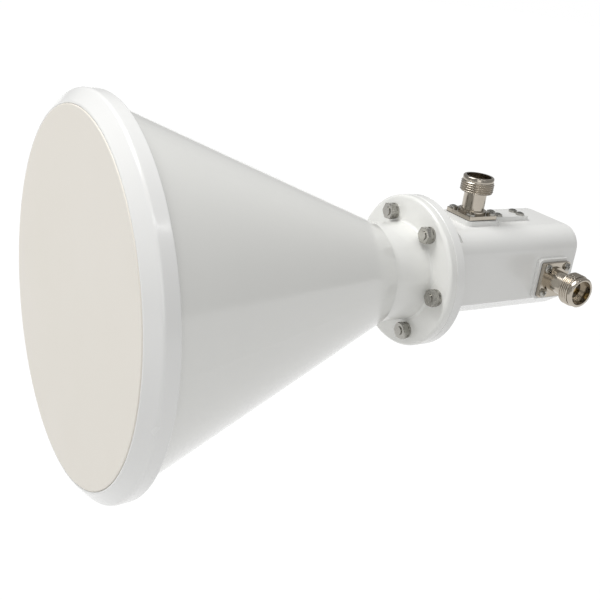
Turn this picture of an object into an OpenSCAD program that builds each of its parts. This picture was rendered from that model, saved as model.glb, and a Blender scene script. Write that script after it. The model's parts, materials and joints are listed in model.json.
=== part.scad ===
// Dual-port conical horn antenna with a round radome.
// Millimetres. The origin is on the axis, in the joint between the two flanges. The horn
// looks along -Y, the front port stands up along +Z and the rear port stands out along +X.
// Turned pieces are drawn about a local z axis whose stations are counted from the rear face.

/* [Horn] */
// Outside diameter of the cone where the mouth ring starts
mouth_d = 150; // [120:0.2:180]
// Outside diameter of the cone at its small end
throat_d = 49; // [46:0.2:60]
// Length of the cone from its small end to the mouth ring
cone_len = 126; // [80:0.2:180]
// Thickness of the cone's sheet
sheet = 1.5; // [1:0.1:2]
// Thickness of the turned-out edge of the cone inside the mouth ring
lip_t = 2; // [1.5:0.1:2.5]

/* [Radome] */
// Width of the radome's brim around its raised face
brim_w = 4.2; // [3.6:0.1:6]
// How far the face stands in front of the mouth ring
face_proud = 0.3; // [0:0.1:1]
// Wall thickness of the radome cap
radome_t = 2; // [1.5:0.1:3]
// Wall of the mouth ring outside the cone's lip
ring_wall = 2; // [1.6:0.1:4]
// Width of the rounded land around the face
ring_land = 1.3; // [1:0.1:2]
// Depth of the mouth ring's front bevel
ring_front = 5.6; // [5:0.1:7]
// Length of the mouth ring's outer band
ring_band = 5.5; // [4.6:0.1:8]

/* [Flanges] */
// Diameter of both flanges
flange_d = 71.2; // [68:0.2:80]
// Thickness of the horn's flange
front_flange_t = 4; // [3.5:0.1:6]
// Thickness of the feed body's flange
rear_flange_t = 4.5; // [3.5:0.1:6]
// Length of the plain collar between the cone and the horn's flange
collar_len = 20.5; // [15:0.5:30]
// Rounding on the front edge of the horn's flange
edge_r = 1.6; // [0.5:0.1:2.5]
// Diameter of the bolt circle
bolt_circle = 56.2; // [54.6:0.2:58]
// Number of flange bolts
bolt_count = 6; // [4:1:8]
// Angle of the first bolt from the rear port
bolt_phase = -5; // [-30:1:30]
// Thread diameter of the flange bolts
bolt_d = 4; // [3:0.5:4]

/* [Feed body] */
// Diameter of the feed body's round underside
body_d = 45; // [43:0.5:45]
// Inside diameter of the feed body
bore_d = 41; // [38:0.5:42]
// Length of the body from its rear face to the joint of the flanges
body_len = 88.5; // [86:0.5:110]
// Height of the top flat above the axis
top_flat_h = 23.6; // [23:0.1:26]
// Distance of the two side flats from the axis
side_flat_h = 22.6; // [22.5:0.1:25]
// Rounding of the two upper corners
corner_r = 11; // [8:0.5:12]
// How far the side flats reach below the axis
side_flat_drop = 10.7; // [10.2:0.1:12]
// Length of the pockets that make room for the bolt heads
bolt_room = 8.5; // [8:0.5:18]
// Distance of the top port from the rear face
top_port_s = 55; // [50:0.5:58]
// Distance of the side port from the rear face
side_port_s = 17.4; // [17:0.2:22]

/* [Port plates] */
// Thickness of the plates that carry the connectors
pad_t = 2.2; // [1.2:0.1:3]
// Width of the square pad under a connector
pad_w = 20.4; // [19:0.2:21.4]
// Corner radius of the pads
pad_r = 2.5; // [1:0.5:4]
// Width of the top plate's tail
tail_w = 9.8; // [9.6:0.2:12]
// Length of the tail behind the pad
tail_len = 23.6; // [20:0.2:26]
// Spacing of the tail screws across the tail
tail_pitch_x = 5; // [4.8:0.1:5]
// Spacing of the tail screws along the tail
tail_pitch_s = 14.8; // [10:0.2:16]
// Distance of the last tail screws from the tail's end
tail_screw_end = 3.9; // [3:0.1:4]

/* [Connectors] */
// Side of the square connector flange
conn_w = 17.5; // [17:0.1:18.2]
// Thickness of the connector flange
conn_t = 1.8; // [1.5:0.1:2.5]
// Height of the connector above its seat
conn_h = 19.4; // [17:0.1:22]
// Outside diameter of the connector's thread
thread_d = 15.88; // [15.7:0.02:16]
// Length of the threaded part
thread_len = 5.2; // [4:0.1:6]
// Length of the plain lead in front of the thread
lead_len = 2.4; // [1.5:0.1:3]
// Diameter of the plain lead
lead_d = 14.8; // [14:0.1:15.2]
// Diameter of the neck behind the thread
neck_d = 10.8; // [10.4:0.1:13]
// Diameter of the open mouth
socket_d = 12; // [11:0.1:12.6]
// Depth of the open mouth
socket_depth = 4.6; // [4.3:0.1:6]
// Diameter of the bore behind the mouth
coax_d = 8.2; // [7:0.1:8.4]
// Diameter of the centre contact
contact_d = 3; // [2.5:0.1:3.2]
// Hole-to-hole spacing of the connector flange
conn_pitch = 12.7; // [12.5:0.05:12.8]
// Length of a probe inside the bore
probe_len = 12.5; // [8:0.5:15]

/* [Small parts] */
// Thread diameter of the port screws
screw_d = 2.5; // [2:0.1:2.6]
// Head diameter of the port screws
screw_head_d = 4.2; // [3.8:0.1:4.4]
// Head height of the port screws
screw_head_h = 1.5; // [1.2:0.1:1.8]
// Depth that the port screws reach into the feed body
screw_bite = 2; // [1.6:0.1:2.2]
// Thickness of the septum plate
septum_t = 1.5; // [1:0.1:2]
// Length of the septum plate along the bore
septum_len = 19; // [15:0.5:22]
// Thickness of the gasket under each connector
gasket_t = 0.3; // [0.2:0.05:0.6]
// Thickness of the end cap's plate
cap_t = 4.2; // [3.6:0.1:6]
// Length of the end cap's plug inside the bore
plug_len = 3.8; // [3.4:0.1:4.2]

/* [Clearances] */
// Gap between round parts that slide into each other
slip = 0.05; // [0.03:0.01:0.1]
// Radial gap around screws and bolts in plain holes
hole_gap = 0.15; // [0.1:0.05:0.3]

/* [Hidden] */
$fn = 96;
big_fn = 180;
eps = 0.01;

// Stations along the local z axis, from the rear face forward
seam_z = body_len;
rear_flange_z = seam_z - rear_flange_t;
front_face_z = seam_z + front_flange_t;
throat_z = front_face_z + collar_len;
ring_z = throat_z + cone_len;
rim_z = ring_z + ring_band;
ring_front_z = rim_z + ring_front;
face_z = ring_front_z + face_proud;

// Cone: slope, and the radial thickness of its sheet
cone_slope = (mouth_d - throat_d) / 2 / cone_len;
sheet_r = sheet * sqrt(1 + cone_slope * cone_slope);
function cone_r(z) = throat_d / 2 + (z - throat_z) * cone_slope;
function cone_in_r(z) = cone_r(z) - sheet_r;

// Stack inside the mouth ring: hook, cone lip, gasket, radome brim
hook_t = 1.1;
gasket_h = 1.2;
lip_z = ring_z + hook_t;
seal_z = lip_z + lip_t;
brim_z = seal_z + gasket_h;
brim_top_z = brim_z + radome_t;
lip_r = cone_r(lip_z) + 1.2;
pocket_r = lip_r + 3 * slip;
face_r = pocket_r - brim_w;
land_r = face_r + ring_land + slip;
ring_r = pocket_r + ring_wall;
ring_rear_r = ring_r - 0.3;
rim_round = 2;
seat_gap = 0.03;

// Collar
collar_r = cone_in_r(throat_z);
seat_len = 4;
flare_len = 8;
seat_tip = 1;
collar_fillet = 1.2;
seam_chamfer = 0.3;

// Static seals
face_cord = 1.8;
face_groove_r = bore_d / 2 + 2.6;
groove_w = 2.2;
cap_cord = 1.6;
cap_groove_w = 1.8;
cap_groove_z = cap_t + 0.8;

// Bolts: washer, nut and head sizes follow the thread
bolt_washer_t = 0.2 * bolt_d;
bolt_washer_d = 2 * bolt_d;
lock_washer_t = 0.25 * bolt_d;
lock_washer_d = 1.9 * bolt_d;
nut_w = 1.75 * bolt_d;
nut_h = 0.8 * bolt_d;
head_h = 0.7 * bolt_d;
bolt_end = 0.5;
bolt_head_z = rear_flange_z - bolt_washer_t;
nut_z = front_face_z + lock_washer_t;
bolt_tip_z = nut_z + nut_h + bolt_end;

// Port stack above its flat: pad plate, gasket, connector
seat_h = pad_t + gasket_t;
tail_end_s = top_port_s - pad_w / 2 - tail_len;
tail_centre_s = tail_end_s + tail_screw_end + tail_pitch_s / 2;
neck_top = conn_h - lead_len - thread_len;
base_d = neck_d + 2.4;
base_h = 1.2;
relief_d = lead_d - 0.6;
relief_w = 0.4;
coax_top = conn_h - socket_depth;
insulator_top = neck_top - 2;
spigot_d = coax_d - 1.2;
bore_r = bore_d / 2;
contact_top = coax_top - 0.4;
contact_bore_d = 1.7;
contact_bore_h = 5;
stem_d = 1.8;
pilot_depth = screw_bite + 0.2;
groove_depth = 0.8;
septum_z = tail_end_s + 2;

// Quarter arc in the plane, from angle a0 to angle a1
function arc(cx, cy, r, a0, a1, n = 8) =
    [for (i = [0:n]) let (a = a0 + (a1 - a0) * i / n) [cx + r * cos(a), cy + r * sin(a)]];

// Puts a piece at its distance s from the rear face, on the axis
module at_station(s) translate([0, seam_z - s, 0]) children();

// Turns the local z axis to the boresight, local y up
module boresight() at_station(0) rotate([90, 0, 0]) children();

// Stands a piece on a flat: local z out of the flat, z = 0 in its face
module on_top_flat(s) at_station(s) translate([0, 0, top_flat_h]) children();
module top_port() on_top_flat(top_port_s) children();
module side_port() at_station(side_port_s) translate([side_flat_h, 0, 0]) rotate([0, 90, 0]) children();

// Thickness of the body's wall under each flat
top_wall = top_flat_h - bore_r;
side_wall = side_flat_h - bore_r;

module around_bolts()
    for (i = [0:bolt_count - 1])
        rotate(bolt_phase + i * 360 / bolt_count)
            translate([bolt_circle / 2, 0, 0]) children();

module at_corners(px, py)
    for (x = [-px / 2, px / 2], y = [-py / 2, py / 2])
        translate([x, y, 0]) children();

module tube(d_out, d_in, h)
    difference() {
        cylinder(d = d_out, h = h);
        translate([0, 0, -eps]) cylinder(d = d_in, h = h + 2 * eps);
    }

module rounded_rect(w, l, r) {
    square([w - 2 * r, l], center = true);
    square([w, l - 2 * r], center = true);
    at_corners(w - 2 * r, l - 2 * r) circle(r = r);
}

// ---- Mouth ----

module radome_cap() color([0.88, 0.86, 0.82]) boresight()
    rotate_extrude($fn = big_fn)
        polygon(concat(
            [[0, face_z - radome_t], [face_r - radome_t - 1, face_z - radome_t],
             [face_r - radome_t, face_z - radome_t - 1], [face_r - radome_t, brim_z],
             [pocket_r - 2 * slip, brim_z], [pocket_r - 2 * slip, brim_top_z],
             [face_r, brim_top_z]],
            arc(face_r - 0.4, face_z - 0.4, 0.4, 0, 90, 4),
            [[0, face_z]]));

// The bevel's slope turns into the outer band through an arc of rim_round
module mouth_ring() color([0.96, 0.96, 0.95]) boresight() {
    bevel = atan2(ring_r - land_r, ring_front);
    rotate_extrude($fn = big_fn)
        polygon(concat(
            [[face_r + slip, ring_front_z - 0.4]],
            arc(face_r + slip + 0.4, ring_front_z - 0.4, 0.4, 180, 90, 4),
            arc(land_r - 0.7, ring_front_z - 0.7, 0.7, 90, 90 - bevel, 4),
            arc(ring_r - rim_round, rim_z, rim_round, 90 - bevel, 0),
            arc(ring_rear_r - 0.8, ring_z + 0.8, 0.8, 0, -90, 5),
            [[cone_r(ring_z) + 3 * slip, ring_z],
             [cone_r(lip_z - seat_gap) + 3 * slip, lip_z - seat_gap],
             [pocket_r, lip_z - seat_gap], [pocket_r, brim_top_z + seat_gap],
             [face_r + slip, brim_top_z + seat_gap]]));
}

module radome_gasket() color([0.2, 0.2, 0.2]) boresight()
    translate([0, 0, seal_z]) tube(2 * (lip_r - 0.2), 2 * (face_r - radome_t + 1), gasket_h, $fn = big_fn);

module horn_cone() color([0.95, 0.95, 0.94]) boresight()
    rotate_extrude($fn = big_fn)
        polygon([
            [cone_in_r(throat_z), throat_z], [cone_r(throat_z), throat_z],
            [cone_r(lip_z), lip_z], [lip_r, lip_z], [lip_r, seal_z],
            [cone_in_r(seal_z), seal_z]]);

// ---- Neck and flange joint ----

module neck_profile()
    polygon(concat(
        [[bore_r, seam_z], [flange_d / 2 - seam_chamfer, seam_z],
         [flange_d / 2, seam_z + seam_chamfer]],
        arc(flange_d / 2 - edge_r, front_face_z - edge_r, edge_r, 0, 90),
        arc(collar_r + collar_fillet, front_face_z + collar_fillet, collar_fillet, 270, 180),
        [[collar_r, throat_z - seat_gap], [collar_r - seat_gap, throat_z],
         [cone_in_r(throat_z + seat_len) - seat_gap, throat_z + seat_len],
         [cone_in_r(throat_z + seat_len) - seat_tip, throat_z + seat_len],
         [bore_r, throat_z + seat_len - flare_len]]));

module neck_flange() color([0.95, 0.95, 0.94]) boresight()
    difference() {
        rotate_extrude($fn = big_fn) neck_profile();
        around_bolts() translate([0, 0, seam_z - 1])
            cylinder(d = bolt_d + 2 * hole_gap, h = front_flange_t + 2);
        translate([0, 0, seam_z - eps])
            tube(2 * face_groove_r + groove_w, 2 * face_groove_r - groove_w, face_cord + eps);
    }

module flange_o_ring() color([0.12, 0.12, 0.12]) boresight()
    translate([0, 0, seam_z + face_cord / 2])
        rotate_extrude($fn = big_fn) translate([face_groove_r, 0]) circle(d = face_cord, $fn = 24);

module flange_bolts() color([0.72, 0.72, 0.72]) boresight()
    around_bolts() {
        translate([0, 0, bolt_head_z]) cylinder(d = bolt_d, h = bolt_tip_z - bolt_head_z);
        translate([0, 0, bolt_head_z - head_h])
            cylinder(d = nut_w / cos(30), h = head_h, $fn = 6);
    }

module bolt_washers() color([0.72, 0.72, 0.72]) boresight()
    around_bolts() translate([0, 0, bolt_head_z])
        tube(bolt_washer_d, bolt_d + 2 * hole_gap, bolt_washer_t);

module lock_washers() color([0.6, 0.6, 0.6]) boresight()
    around_bolts() translate([0, 0, front_face_z])
        difference() {
            tube(lock_washer_d, bolt_d + 2 * hole_gap, lock_washer_t);
            rotate(40) translate([0, -0.2, -eps]) cube([lock_washer_d, 0.4, lock_washer_t + 2 * eps]);
        }

// The six flats are cut from a disc whose rims are chamfered, as a real nut is
module nut()
    difference() {
        intersection() {
            cylinder(d = nut_w / cos(30), h = nut_h, $fn = 6);
            union() {
                cylinder(d1 = nut_w, d2 = nut_w + 4 * nut_h, h = nut_h / 2);
                translate([0, 0, nut_h / 2]) cylinder(d1 = nut_w + 4 * nut_h, d2 = nut_w, h = nut_h / 2);
            }
        }
        translate([0, 0, -eps]) cylinder(d = bolt_d + 2 * slip, h = nut_h + 2 * eps);
    }

module flange_nuts() color([0.75, 0.75, 0.76]) boresight()
    around_bolts() translate([0, 0, nut_z]) rotate(12) nut();

// ---- Feed body ----

// Arch-shaped section: round below, a flat on top and on each side, round upper corners.
// Below the side flats a facet runs tangent into the round underside.
module body_section(inset = 0) {
    half_w = side_flat_h - inset;
    corner_x = side_flat_h - corner_r;
    corner_y = top_flat_h - corner_r;
    round_r = body_d / 2 - inset;
    facet = atan2(-side_flat_drop, half_w) - acos(round_r / norm([half_w, side_flat_drop]));
    side = [[half_w, corner_y], [half_w, -side_flat_drop], round_r * [cos(facet), sin(facet)]];
    circle(r = round_r, $fn = big_fn);
    polygon(concat(side, [for (i = [2:-1:0]) [-side[i][0], side[i][1]]]));
    translate([-corner_x, 0]) square([2 * corner_x, top_flat_h - inset]);
    for (x = [-corner_x, corner_x]) translate([x, corner_y]) circle(r = corner_r - inset);
}

module screw_pilots(px, py)
    at_corners(px, py) translate([0, 0, -pilot_depth]) cylinder(d = screw_d + 2 * slip, h = pilot_depth + 1);

module port_cut(wall) {
    translate([0, 0, -wall - 3]) cylinder(d = spigot_d + 2 * slip, h = wall + 4);
    screw_pilots(conn_pitch, conn_pitch);
}

module feed_body() color([0.95, 0.95, 0.94])
    difference() {
        union() {
            boresight() {
                difference() {
                    translate([0, 0, cap_t]) linear_extrude(seam_z - cap_t - 1) body_section();
                    around_bolts() translate([0, 0, rear_flange_z - bolt_room])
                        cylinder(d = bolt_washer_d + 2, h = bolt_room + 1);
                }
                translate([0, 0, rear_flange_z])
                    cylinder(d = flange_d, h = rear_flange_t - seam_chamfer, $fn = big_fn);
                translate([0, 0, seam_z - seam_chamfer])
                    cylinder(d1 = flange_d, d2 = flange_d - 2 * seam_chamfer, h = seam_chamfer, $fn = big_fn);
            }
        }
        boresight() {
            translate([0, 0, -eps]) cylinder(d = bore_d, h = seam_z + 1, $fn = big_fn);
            around_bolts() translate([0, 0, rear_flange_z - 1])
                cylinder(d = bolt_d + 2 * hole_gap, h = rear_flange_t + 2);
            septum_slot();
        }
        top_port() port_cut(top_wall);
        side_port() port_cut(side_wall);
        on_top_flat(tail_centre_s) screw_pilots(tail_pitch_x, tail_pitch_s);
    }

// Grooves at the top and bottom of the bore, open at the rear, for the septum
module septum_slot()
    translate([-septum_t / 2 - slip, -bore_r - groove_depth, -eps])
        cube([septum_t + 2 * slip, bore_d + 2 * groove_depth, septum_z + septum_len + eps]);

module septum_plate() color([0.8, 0.8, 0.78]) boresight()
    translate([-septum_t / 2, -bore_r - groove_depth + slip, septum_z])
        cube([septum_t, bore_d + 2 * (groove_depth - slip), septum_len]);

// Plate stepped back three times towards the rear face, each layer sunk a little into the next
module end_cap() color([0.95, 0.95, 0.94]) boresight() {
    step = cap_t / 4;
    for (layer = [[3, 1, 0], [1.9, 1.2, 0.25], [0.7, 1.3, 0.7], [0, 0.8, 1.6]])
        translate([0, 0, layer[0] * step]) linear_extrude(layer[1] * step) body_section(layer[2]);
    difference() {
        translate([0, 0, cap_t - 0.5]) cylinder(d = bore_d - 2 * slip, h = plug_len + 0.5, $fn = big_fn);
        translate([0, 0, cap_groove_z])
            tube(bore_d + 1, bore_d - 2 * cap_cord, cap_groove_w, $fn = big_fn);
    }
}

module end_cap_o_ring() color([0.12, 0.12, 0.12]) boresight()
    translate([0, 0, cap_groove_z + cap_groove_w / 2])
        rotate_extrude($fn = big_fn) translate([bore_r - cap_cord / 2, 0]) circle(d = cap_cord, $fn = 24);

// ---- Ports ----

// Clearance holes for screws at the corners of a rectangle, through a thickness t
module screw_holes(px, py, t)
    at_corners(px, py) translate([0, 0, -1]) cylinder(d = screw_d + 2 * hole_gap, h = t + 2);

module pad_plate_holes() {
    translate([0, 0, -1]) cylinder(d = spigot_d + 2 * slip, h = pad_t + 2);
    screw_holes(conn_pitch, conn_pitch, pad_t);
}

module top_port_plate() color([0.93, 0.93, 0.92]) top_port()
    difference() {
        linear_extrude(pad_t) union() {
            rounded_rect(pad_w, pad_w, pad_r);
            translate([0, pad_w / 2 + tail_len / 2 - 1]) rounded_rect(tail_w, tail_len + 2, 0.6);
        }
        pad_plate_holes();
        translate([0, top_port_s - tail_centre_s, 0]) screw_holes(tail_pitch_x, tail_pitch_s, pad_t);
    }

module side_port_plate() color([0.93, 0.93, 0.92]) side_port()
    difference() {
        linear_extrude(pad_t) rounded_rect(pad_w, pad_w, pad_r);
        pad_plate_holes();
    }

// Pan-head screw: seat at z = 0, shank down, domed head up with a cross recess
module pan_screw(shank) {
    dome = screw_head_h * 0.45;
    sphere_r = (screw_head_d * screw_head_d / 4 + dome * dome) / (2 * dome);
    translate([0, 0, -shank]) cylinder(d = screw_d, h = shank + eps);
    difference() {
        union() {
            cylinder(d = screw_head_d, h = screw_head_h - dome);
            translate([0, 0, screw_head_h - sphere_r]) intersection() {
                sphere(r = sphere_r);
                translate([0, 0, sphere_r - dome - eps]) cylinder(d = screw_head_d, h = dome + 1);
            }
        }
        for (a = [0, 90]) rotate(a) translate([-screw_head_d * 0.3, -0.25, screw_head_h - 0.8])
            cube([screw_head_d * 0.6, 0.5, 2]);
    }
}

module port_screws() color([0.75, 0.74, 0.72]) translate([0, 0, seat_h + conn_t])
    at_corners(conn_pitch, conn_pitch) pan_screw(conn_t + gasket_t + pad_t + screw_bite);

module tail_screws() color([0.8, 0.8, 0.79]) on_top_flat(tail_centre_s) translate([0, 0, pad_t])
    at_corners(tail_pitch_x, tail_pitch_s) pan_screw(pad_t + screw_bite);

module shell() color([0.75, 0.73, 0.69]) translate([0, 0, seat_h])
    difference() {
        union() {
            linear_extrude(conn_t) rounded_rect(conn_w, conn_w, 1);
            translate([0, 0, conn_t - eps]) cylinder(d = base_d, h = base_h + eps);
            translate([0, 0, conn_t]) cylinder(d = neck_d, h = neck_top - conn_t + eps);
            rotate_extrude() polygon([
                [0, neck_top], [thread_d / 2 - 0.4, neck_top], [thread_d / 2, neck_top + 0.4],
                [thread_d / 2, neck_top + thread_len], [relief_d / 2, neck_top + thread_len],
                [relief_d / 2, neck_top + thread_len + relief_w],
                [lead_d / 2, neck_top + thread_len + relief_w],
                [lead_d / 2, conn_h - 0.4], [lead_d / 2 - 0.4, conn_h], [0, conn_h]]);
        }
        translate([0, 0, -1]) cylinder(d = coax_d, h = conn_h + 2);
        translate([0, 0, coax_top]) cylinder(d = socket_d, h = socket_depth + 1);
        screw_holes(conn_pitch, conn_pitch, conn_t);
    }

// Dielectric: wide inside the connector, a narrower spigot down through the body's wall
module insulator(wall) color([0.95, 0.95, 0.93])
    difference() {
        union() {
            translate([0, 0, seat_h]) cylinder(d = coax_d - 2 * slip, h = insulator_top);
            translate([0, 0, -wall]) cylinder(d = spigot_d, h = wall + seat_h + eps);
        }
        translate([0, 0, -wall - 1]) cylinder(d = stem_d, h = wall + seat_h + insulator_top + 2);
    }

// Centre contact, its stem through the insulator, and the probe in the bore
module probe(wall) color([0.83, 0.69, 0.35])
    difference() {
        union() {
            translate([0, 0, seat_h + insulator_top])
                cylinder(d = contact_d, h = contact_top - insulator_top);
            translate([0, 0, -wall - eps]) cylinder(d = stem_d, h = wall + seat_h + insulator_top + 2 * eps);
            translate([0, 0, -wall - probe_len]) cylinder(d = contact_d, h = probe_len);
        }
        translate([0, 0, seat_h + contact_top - contact_bore_h])
            cylinder(d = contact_bore_d, h = contact_bore_h + 1);
    }

module gasket() color([0.25, 0.25, 0.25]) translate([0, 0, pad_t])
    difference() {
        linear_extrude(gasket_t) rounded_rect(conn_w, conn_w, 1);
        translate([0, 0, -1]) cylinder(d = spigot_d + 2 * slip, h = gasket_t + 2);
        screw_holes(conn_pitch, conn_pitch, gasket_t);
    }

module top_connector() top_port() shell();
module top_insulator() top_port() insulator(top_wall);
module top_probe() top_port() probe(top_wall);
module top_gasket() top_port() gasket();
module top_connector_screws() top_port() port_screws();
module side_connector() side_port() shell();
module side_insulator() side_port() insulator(side_wall);
module side_probe() side_port() probe(side_wall);
module side_gasket() side_port() gasket();
module side_connector_screws() side_port() port_screws();

radome_cap();
mouth_ring();
radome_gasket();
horn_cone();
neck_flange();
flange_o_ring();
feed_body();
end_cap();
end_cap_o_ring();
flange_bolts();
bolt_washers();
flange_nuts();
lock_washers();
top_port_plate();
side_port_plate();
tail_screws();
septum_plate();
top_connector();
top_insulator();
top_probe();
top_gasket();
top_connector_screws();
side_connector();
side_insulator();
side_probe();
side_gasket();
side_connector_screws();
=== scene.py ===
"""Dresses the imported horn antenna: materials, cut threads on the two jacks, light, floor and camera."""
import json
import math

import bmesh
import bpy
from mathutils import Matrix, Vector


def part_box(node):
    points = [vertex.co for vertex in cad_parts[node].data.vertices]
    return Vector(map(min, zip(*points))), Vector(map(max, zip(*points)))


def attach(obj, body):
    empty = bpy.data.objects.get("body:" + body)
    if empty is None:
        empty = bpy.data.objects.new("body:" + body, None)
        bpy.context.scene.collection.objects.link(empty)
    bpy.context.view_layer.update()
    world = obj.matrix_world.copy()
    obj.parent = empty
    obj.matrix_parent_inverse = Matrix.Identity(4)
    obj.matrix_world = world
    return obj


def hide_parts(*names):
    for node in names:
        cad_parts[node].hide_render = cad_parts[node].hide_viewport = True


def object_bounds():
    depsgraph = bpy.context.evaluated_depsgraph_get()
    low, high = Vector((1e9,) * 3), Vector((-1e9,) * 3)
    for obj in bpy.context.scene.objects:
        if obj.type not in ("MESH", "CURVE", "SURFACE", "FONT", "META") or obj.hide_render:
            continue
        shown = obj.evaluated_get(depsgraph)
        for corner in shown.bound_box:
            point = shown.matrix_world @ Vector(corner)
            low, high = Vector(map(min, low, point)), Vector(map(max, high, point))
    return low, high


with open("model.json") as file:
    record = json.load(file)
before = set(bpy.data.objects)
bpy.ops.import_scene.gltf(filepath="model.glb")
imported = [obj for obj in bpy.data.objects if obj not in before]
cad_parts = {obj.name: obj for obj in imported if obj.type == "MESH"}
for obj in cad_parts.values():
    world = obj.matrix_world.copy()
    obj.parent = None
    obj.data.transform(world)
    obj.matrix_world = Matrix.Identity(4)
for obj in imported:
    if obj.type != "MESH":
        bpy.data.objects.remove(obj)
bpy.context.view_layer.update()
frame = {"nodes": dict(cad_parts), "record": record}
nodes = frame["nodes"]

MM = 0.001

# ---------------------------------------------------------------- places, all taken from the frame

MOUNTS = {m["name"]: m for m in frame["record"]["mounts"]}


def port_seat(port):
    """Matrix from the jack's seat with +Z out of the port, and the jack's height."""
    mount = MOUNTS[port + "_port"]
    axis = Vector(mount["axis"])
    low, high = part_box(port + "_connector")
    seat = Vector(low).dot(axis)
    top = Vector(high).dot(axis)
    centre = Vector(mount["pos_m"])
    origin = centre + axis * (seat - centre.dot(axis))
    turn = Vector((0, 0, 1)).rotation_difference(axis).to_matrix().to_4x4()
    return Matrix.Translation(origin) @ turn, top - seat


# ---------------------------------------------------------------- node materials


class Nodes:
    """A short way to write a material's node tree."""

    def __init__(self, name):
        self.material = bpy.data.materials.new(name)
        self.material.use_nodes = True
        self.tree = self.material.node_tree
        self.shader = self.tree.nodes["Principled BSDF"]
        self.place = self.add("ShaderNodeTexCoord").outputs["Object"]

    def add(self, kind, **values):
        node = self.tree.nodes.new(kind)
        for key, value in values.items():
            setattr(node, key, value)
        return node

    def link(self, source, target):
        self.tree.links.new(source, target)

    def noise(self, scale, detail=3.0, stretch=(1, 1, 1)):
        """Grey noise, scale in features per metre."""
        mapping = self.add("ShaderNodeMapping")
        mapping.inputs["Scale"].default_value = stretch
        self.link(self.place, mapping.inputs["Vector"])
        noise = self.add("ShaderNodeTexNoise")
        noise.inputs["Scale"].default_value = scale
        noise.inputs["Detail"].default_value = detail
        self.link(mapping.outputs["Vector"], noise.inputs["Vector"])
        return noise.outputs["Fac"]

    def ramp(self, factor, stops):
        """Colour ramp; stops are (position, colour) pairs."""
        ramp = self.add("ShaderNodeValToRGB")
        while len(ramp.color_ramp.elements) < len(stops):
            ramp.color_ramp.elements.new(0.5)
        for element, (position, colour) in zip(ramp.color_ramp.elements, stops):
            element.position = position
            element.color = (*colour, 1)
        self.link(factor, ramp.inputs["Fac"])
        return ramp.outputs["Color"]

    def range(self, factor, low, high):
        """Maps a 0 to 1 value onto low to high."""
        node = self.add("ShaderNodeMapRange")
        node.inputs["To Min"].default_value = low
        node.inputs["To Max"].default_value = high
        self.link(factor, node.inputs["Value"])
        return node.outputs["Result"]

    def bump(self, height, strength, distance):
        node = self.add("ShaderNodeBump")
        node.inputs["Strength"].default_value = strength
        node.inputs["Distance"].default_value = distance
        self.link(height, node.inputs["Height"])
        return node.outputs["Normal"]

    def set(self, **values):
        for key, value in values.items():
            self.shader.inputs[key.replace("_", " ")].default_value = value

    def colour(self, output):
        self.link(output, self.shader.inputs["Base Color"])

    def roughness(self, output):
        self.link(output, self.shader.inputs["Roughness"])

    def normal(self, output):
        self.link(output, self.shader.inputs["Normal"])


def paint(name, colour, rough=(0.2, 0.3)):
    """Sprayed semi-gloss paint: slight cloudiness, faint orange peel."""
    n = Nodes(name)
    low = tuple(c * 0.985 for c in colour)
    n.colour(n.ramp(n.noise(14), [(0.35, low), (0.65, colour)]))
    n.roughness(n.range(n.noise(60), *rough))
    n.set(Coat_Weight=0.35, Coat_Roughness=0.12, Specular_IOR_Level=0.5)
    n.normal(n.bump(n.noise(420, 2), 0.12, 0.00006))
    return n.material


def radome_plastic():
    """Moulded warm off-white sheet with a fine satin grain."""
    n = Nodes("radome_plastic")
    n.colour(n.ramp(n.noise(9), [(0.3, (0.86, 0.82, 0.74)), (0.7, (0.88, 0.84, 0.77))]))
    n.roughness(n.range(n.noise(90), 0.42, 0.52))
    n.normal(n.bump(n.noise(1500, 2), 0.15, 0.00005))
    return n.material


def metal(name, colour, rough, scratch=260, tint=0.9):
    """Plated or turned metal with fine tool marks and a patchy tone."""
    n = Nodes(name)
    low = tuple(c * tint for c in colour)
    n.colour(n.ramp(n.noise(160), [(0.35, low), (0.65, colour)]))
    n.roughness(n.range(n.noise(300), *rough))
    n.set(Metallic=1.0)
    n.normal(n.bump(n.noise(scratch, 4, (1, 1, 6)), 0.12, 0.00005))
    return n.material


def plain(name, colour, rough, grain=900):
    n = Nodes(name)
    low = tuple(c * 0.93 for c in colour)
    n.colour(n.ramp(n.noise(120), [(0.35, low), (0.65, colour)]))
    n.roughness(n.range(n.noise(200), *rough))
    n.normal(n.bump(n.noise(grain, 3), 0.2, 0.00004))
    return n.material


MATERIALS = {
    "radome_plastic": radome_plastic(),
    "ring_paint": paint("ring_paint", (0.86, 0.86, 0.845)),
    "cone_paint": paint("cone_paint", (0.85, 0.85, 0.82), (0.1, 0.18)),
    "neck_paint": paint("neck_paint", (0.84, 0.84, 0.81)),
    "body_paint": paint("body_paint", (0.84, 0.84, 0.82)),
    "plate_paint": paint("plate_paint", (0.80, 0.80, 0.78), (0.25, 0.35)),
    "gasket_rubber": plain("gasket_rubber", (0.05, 0.05, 0.05), (0.6, 0.8)),
    "stainless": metal("stainless", (0.42, 0.41, 0.38), (0.2, 0.34)),
    "bare_aluminium": metal("bare_aluminium", (0.8, 0.8, 0.79), (0.3, 0.4)),
    "nickel_plate": metal("nickel_plate", (0.50, 0.455, 0.39), (0.12, 0.26)),
    "white_insulator": plain("white_insulator", (0.82, 0.82, 0.79), (0.35, 0.45)),
    "gilt_brass": metal("gilt_brass", (0.83, 0.62, 0.27), (0.15, 0.25)),
}

SLOT_OF = {s["node"]: s["material_slot"] for s in frame["record"]["subparts"]}


def dress(obj, slot):
    obj.data.materials.clear()
    obj.data.materials.append(MATERIALS[slot])


def smooth(obj, degrees=32):
    obj.data.shade_smooth()
    obj.data.set_sharp_from_angle(angle=math.radians(degrees))


for name, node in nodes.items():
    dress(node, SLOT_OF[name])
    smooth(node)

# ---------------------------------------------------------------- jacks with a cut thread

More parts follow.
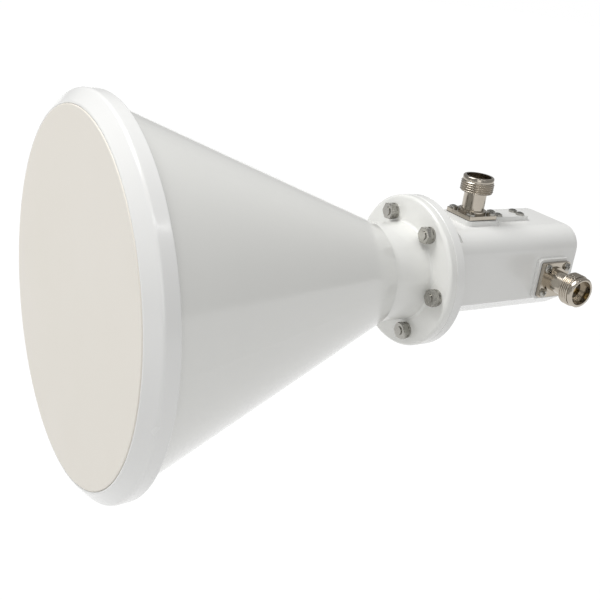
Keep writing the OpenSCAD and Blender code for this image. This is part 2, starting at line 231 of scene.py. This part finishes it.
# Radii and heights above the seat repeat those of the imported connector
THREAD_R = MOUNTS["top_port"]["dims"]["r_mm"] * MM
PITCH = 25.4 / 24 * MM
THREAD_DEPTH = 0.6 * MM
THREAD_Z = (11.8 * MM, 17.0 * MM)
RELIEF_R = 7.1 * MM
LEAD_R = 7.4 * MM
LEAD_Z = 17.4 * MM
NECK_R = 5.4 * MM
BASE_R = 6.6 * MM
BASE_Z = 3.0 * MM
BORE_R = 4.1 * MM
SOCKET_R = 6.0 * MM
SOCKET_Z = 14.8 * MM
CORNER_R = 1.0 * MM
FLANGE_W = 17.5 * MM
FLANGE_T = 1.8 * MM
HOLE_R = 1.4 * MM
HOLE_PITCH = 12.7 * MM
EDGE = 0.4 * MM
AROUND = 120
RINGS = 72


def new_object(name, bm):
    mesh = bpy.data.meshes.new(name)
    bm.to_mesh(mesh)
    bm.free()
    obj = bpy.data.objects.new(name, mesh)
    bpy.context.scene.collection.objects.link(obj)
    return obj


def thread_radius(z, turn):
    """Radius of the helical thread at a height and a share of a turn, rounded crests and roots."""
    depth = THREAD_DEPTH * (0.5 - 0.5 * math.cos(2 * math.pi * (z / PITCH - turn)))
    fade = max(0.0, min(1.0, (z - THREAD_Z[0]) / EDGE, (THREAD_Z[1] - z) / EDGE))
    return THREAD_R - depth * fade - EDGE * (1 - fade)


def barrel(bm, height):
    """The jack's turned body with its thread, socket and bore, as one closed spin."""
    profile = [(BASE_R, 0), (BASE_R, BASE_Z), (NECK_R, BASE_Z), (NECK_R, THREAD_Z[0])]
    low, high = THREAD_Z
    profile += [(None, low + (high - low) * k / RINGS) for k in range(RINGS + 1)]
    profile += [(RELIEF_R, high), (RELIEF_R, LEAD_Z), (LEAD_R, LEAD_Z), (LEAD_R, height - EDGE)]
    profile += [(LEAD_R - EDGE, height), (SOCKET_R, height), (SOCKET_R, SOCKET_Z)]
    profile += [(BORE_R, SOCKET_Z), (BORE_R, 0)]
    rings = []
    for radius, z in profile:
        ring = []
        for k in range(AROUND):
            r = thread_radius(z, k / AROUND) if radius is None else radius
            angle = 2 * math.pi * k / AROUND
            ring.append(bm.verts.new((r * math.cos(angle), r * math.sin(angle), z)))
        rings.append(ring)
    for lower, upper in zip(rings, rings[1:] + rings[:1]):
        for k in range(AROUND):
            j = (k + 1) % AROUND
            bm.faces.new((lower[k], lower[j], upper[j], upper[k]))


def loop(bm, points):
    """Closed ring of edges through points at z = 0."""
    verts = [bm.verts.new((x, y, 0)) for x, y in points]
    return [bm.edges.new((a, b)) for a, b in zip(verts, verts[1:] + verts[:1])]


def circle(x, y, radius, count):
    turns = [2 * math.pi * k / count for k in range(count)]
    return [(x + radius * math.cos(t), y + radius * math.sin(t)) for t in turns]


def flange_plate(bm):
    """The square flange with its four screw holes and the bore, cut from one outline."""
    inner = FLANGE_W / 2 - CORNER_R
    outline = []
    for quarter, (sx, sy) in enumerate([(1, 1), (-1, 1), (-1, -1), (1, -1)]):
        for k in range(7):
            t = math.pi / 2 * (quarter + k / 6)
            outline.append((sx * inner + CORNER_R * math.cos(t), sy * inner + CORNER_R * math.sin(t)))
    edges = loop(bm, outline) + loop(bm, circle(0, 0, BORE_R, 48))
    for sx in (-1, 1):
        for sy in (-1, 1):
            edges += loop(bm, circle(sx * HOLE_PITCH / 2, sy * HOLE_PITCH / 2, HOLE_R, 24))
    filled = bmesh.ops.triangle_fill(bm, use_beauty=True, edges=edges)
    faces = [f for f in filled["geom"] if isinstance(f, bmesh.types.BMFace)]
    raised = bmesh.ops.extrude_face_region(bm, geom=faces, use_keep_orig=True)
    tops = [v for v in raised["geom"] if isinstance(v, bmesh.types.BMVert)]
    bmesh.ops.translate(bm, vec=(0, 0, FLANGE_T), verts=tops)


def make_jack(port):
    """A jack shell with a real helical thread in place of the plain one."""
    matrix, height = port_seat(port)
    bm = bmesh.new()
    flange_plate(bm)
    barrel(bm, height)
    bmesh.ops.recalc_face_normals(bm, faces=bm.faces)
    bm.transform(matrix)
    jack = new_object(port + "_jack", bm)
    dress(jack, "nickel_plate")
    smooth(jack, 50)
    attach(jack, "root")
    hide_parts(port + "_connector")


make_jack("top")
make_jack("side")

# ---------------------------------------------------------------- stage, light and camera

FLOOR_SIZE = 6.0
FLOOR_DROP = 0.12
FLOOR_SHADOW = 0.06


def white_stage(name, shadow):
    """Pale matte floor that reads as white and keeps a share of the shadow on it."""
    material = bpy.data.materials.new(name)
    material.use_nodes = True
    tree = material.node_tree
    tree.nodes.clear()
    out = tree.nodes.new("ShaderNodeOutputMaterial")
    mix = tree.nodes.new("ShaderNodeMixShader")
    diffuse = tree.nodes.new("ShaderNodeBsdfDiffuse")
    glow = tree.nodes.new("ShaderNodeEmission")
    path = tree.nodes.new("ShaderNodeLightPath")
    seen = tree.nodes.new("ShaderNodeMath")
    seen.operation = "MAXIMUM"
    share = tree.nodes.new("ShaderNodeMath")
    share.operation = "MULTIPLY"
    share.inputs[1].default_value = 1 - shadow
    diffuse.inputs["Color"].default_value = (0.86, 0.86, 0.86, 1)
    glow.inputs["Color"].default_value = (1, 1, 1, 1)
    glow.inputs["Strength"].default_value = 1.06
    tree.links.new(path.outputs["Is Camera Ray"], seen.inputs[0])
    tree.links.new(path.outputs["Is Glossy Ray"], seen.inputs[1])
    tree.links.new(seen.outputs[0], share.inputs[0])
    tree.links.new(share.outputs[0], mix.inputs["Fac"])
    tree.links.new(diffuse.outputs[0], mix.inputs[1])
    tree.links.new(glow.outputs[0], mix.inputs[2])
    tree.links.new(mix.outputs[0], out.inputs["Surface"])
    return material


def make_floor():
    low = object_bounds()[0]
    bm = bmesh.new()
    bmesh.ops.create_grid(bm, x_segments=1, y_segments=1, size=FLOOR_SIZE)
    floor = new_object("floor", bm)
    floor.location.z = low[2] - FLOOR_DROP
    floor.data.materials.append(white_stage("floor_white", FLOOR_SHADOW))


def make_world(diffuse=0.38):
    world = bpy.data.worlds.new("studio")
    bpy.context.scene.world = world
    world.use_nodes = True
    tree = world.node_tree
    background = tree.nodes["Background"]
    path = tree.nodes.new("ShaderNodeLightPath")
    seen = tree.nodes.new("ShaderNodeMath")
    seen.operation = "MAXIMUM"
    strength = tree.nodes.new("ShaderNodeMapRange")
    strength.inputs["To Min"].default_value = diffuse
    strength.inputs["To Max"].default_value = 1.0
    tree.links.new(path.outputs["Is Camera Ray"], seen.inputs[0])
    tree.links.new(path.outputs["Is Transmission Ray"], seen.inputs[1])
    tree.links.new(seen.outputs[0], strength.inputs["Value"])
    tree.links.new(strength.outputs["Result"], background.inputs["Strength"])
    background.inputs["Color"].default_value = (1, 1, 1, 1)


def area_light(name, place, aim, size, power):
    data = bpy.data.lights.new(name, "AREA")
    data.shape = "RECTANGLE"
    data.size, data.size_y = size
    data.energy = power
    lamp = bpy.data.objects.new(name, data)
    lamp.location = place
    lamp.rotation_euler = (Vector(aim) - Vector(place)).to_track_quat("-Z", "Y").to_euler()
    bpy.context.scene.collection.objects.link(lamp)


def make_camera(place, target, roll, lens, shift):
    """Camera at place, looking at target, turned by roll; lens in millimetres, shift in frame widths."""
    data = bpy.data.cameras.new("camera")
    data.sensor_width = 36.0
    data.lens = lens
    data.shift_x, data.shift_y = shift
    data.clip_start = 0.01
    data.clip_end = 50
    forward = (Vector(target) - Vector(place)).normalized()
    right = forward.cross(Vector((0, 0, 1))).normalized()
    down = forward.cross(right)
    turned_right = math.cos(roll) * right + math.sin(roll) * down
    turned_down = math.cos(roll) * down - math.sin(roll) * right
    basis = Matrix((turned_right, -turned_down, -forward)).transposed().to_4x4()
    camera = bpy.data.objects.new("camera", data)
    camera.matrix_world = Matrix.Translation(place) @ basis
    bpy.context.scene.collection.objects.link(camera)
    bpy.context.scene.camera = camera


make_floor()
make_world()
area_light("key", (-0.3, -0.45, 0.9), (0, -0.05, 0), (0.6, 0.6), 8.5)
area_light("fill", (0.9, -0.6, 0.35), (0, -0.05, 0), (0.5, 0.5), 1.0)
area_light("strip", (0.45, -0.1, 0.7), (0, -0.08, 0.02), (0.9, 0.05), 1.0)
make_camera((0.30933, -0.26529, 0.13809), (-0.02510, -0.04280, 0), -0.1454, 54.2928,
            (-0.0047833, -0.0729667))

view = bpy.context.scene.view_settings
view.view_transform = "Standard"
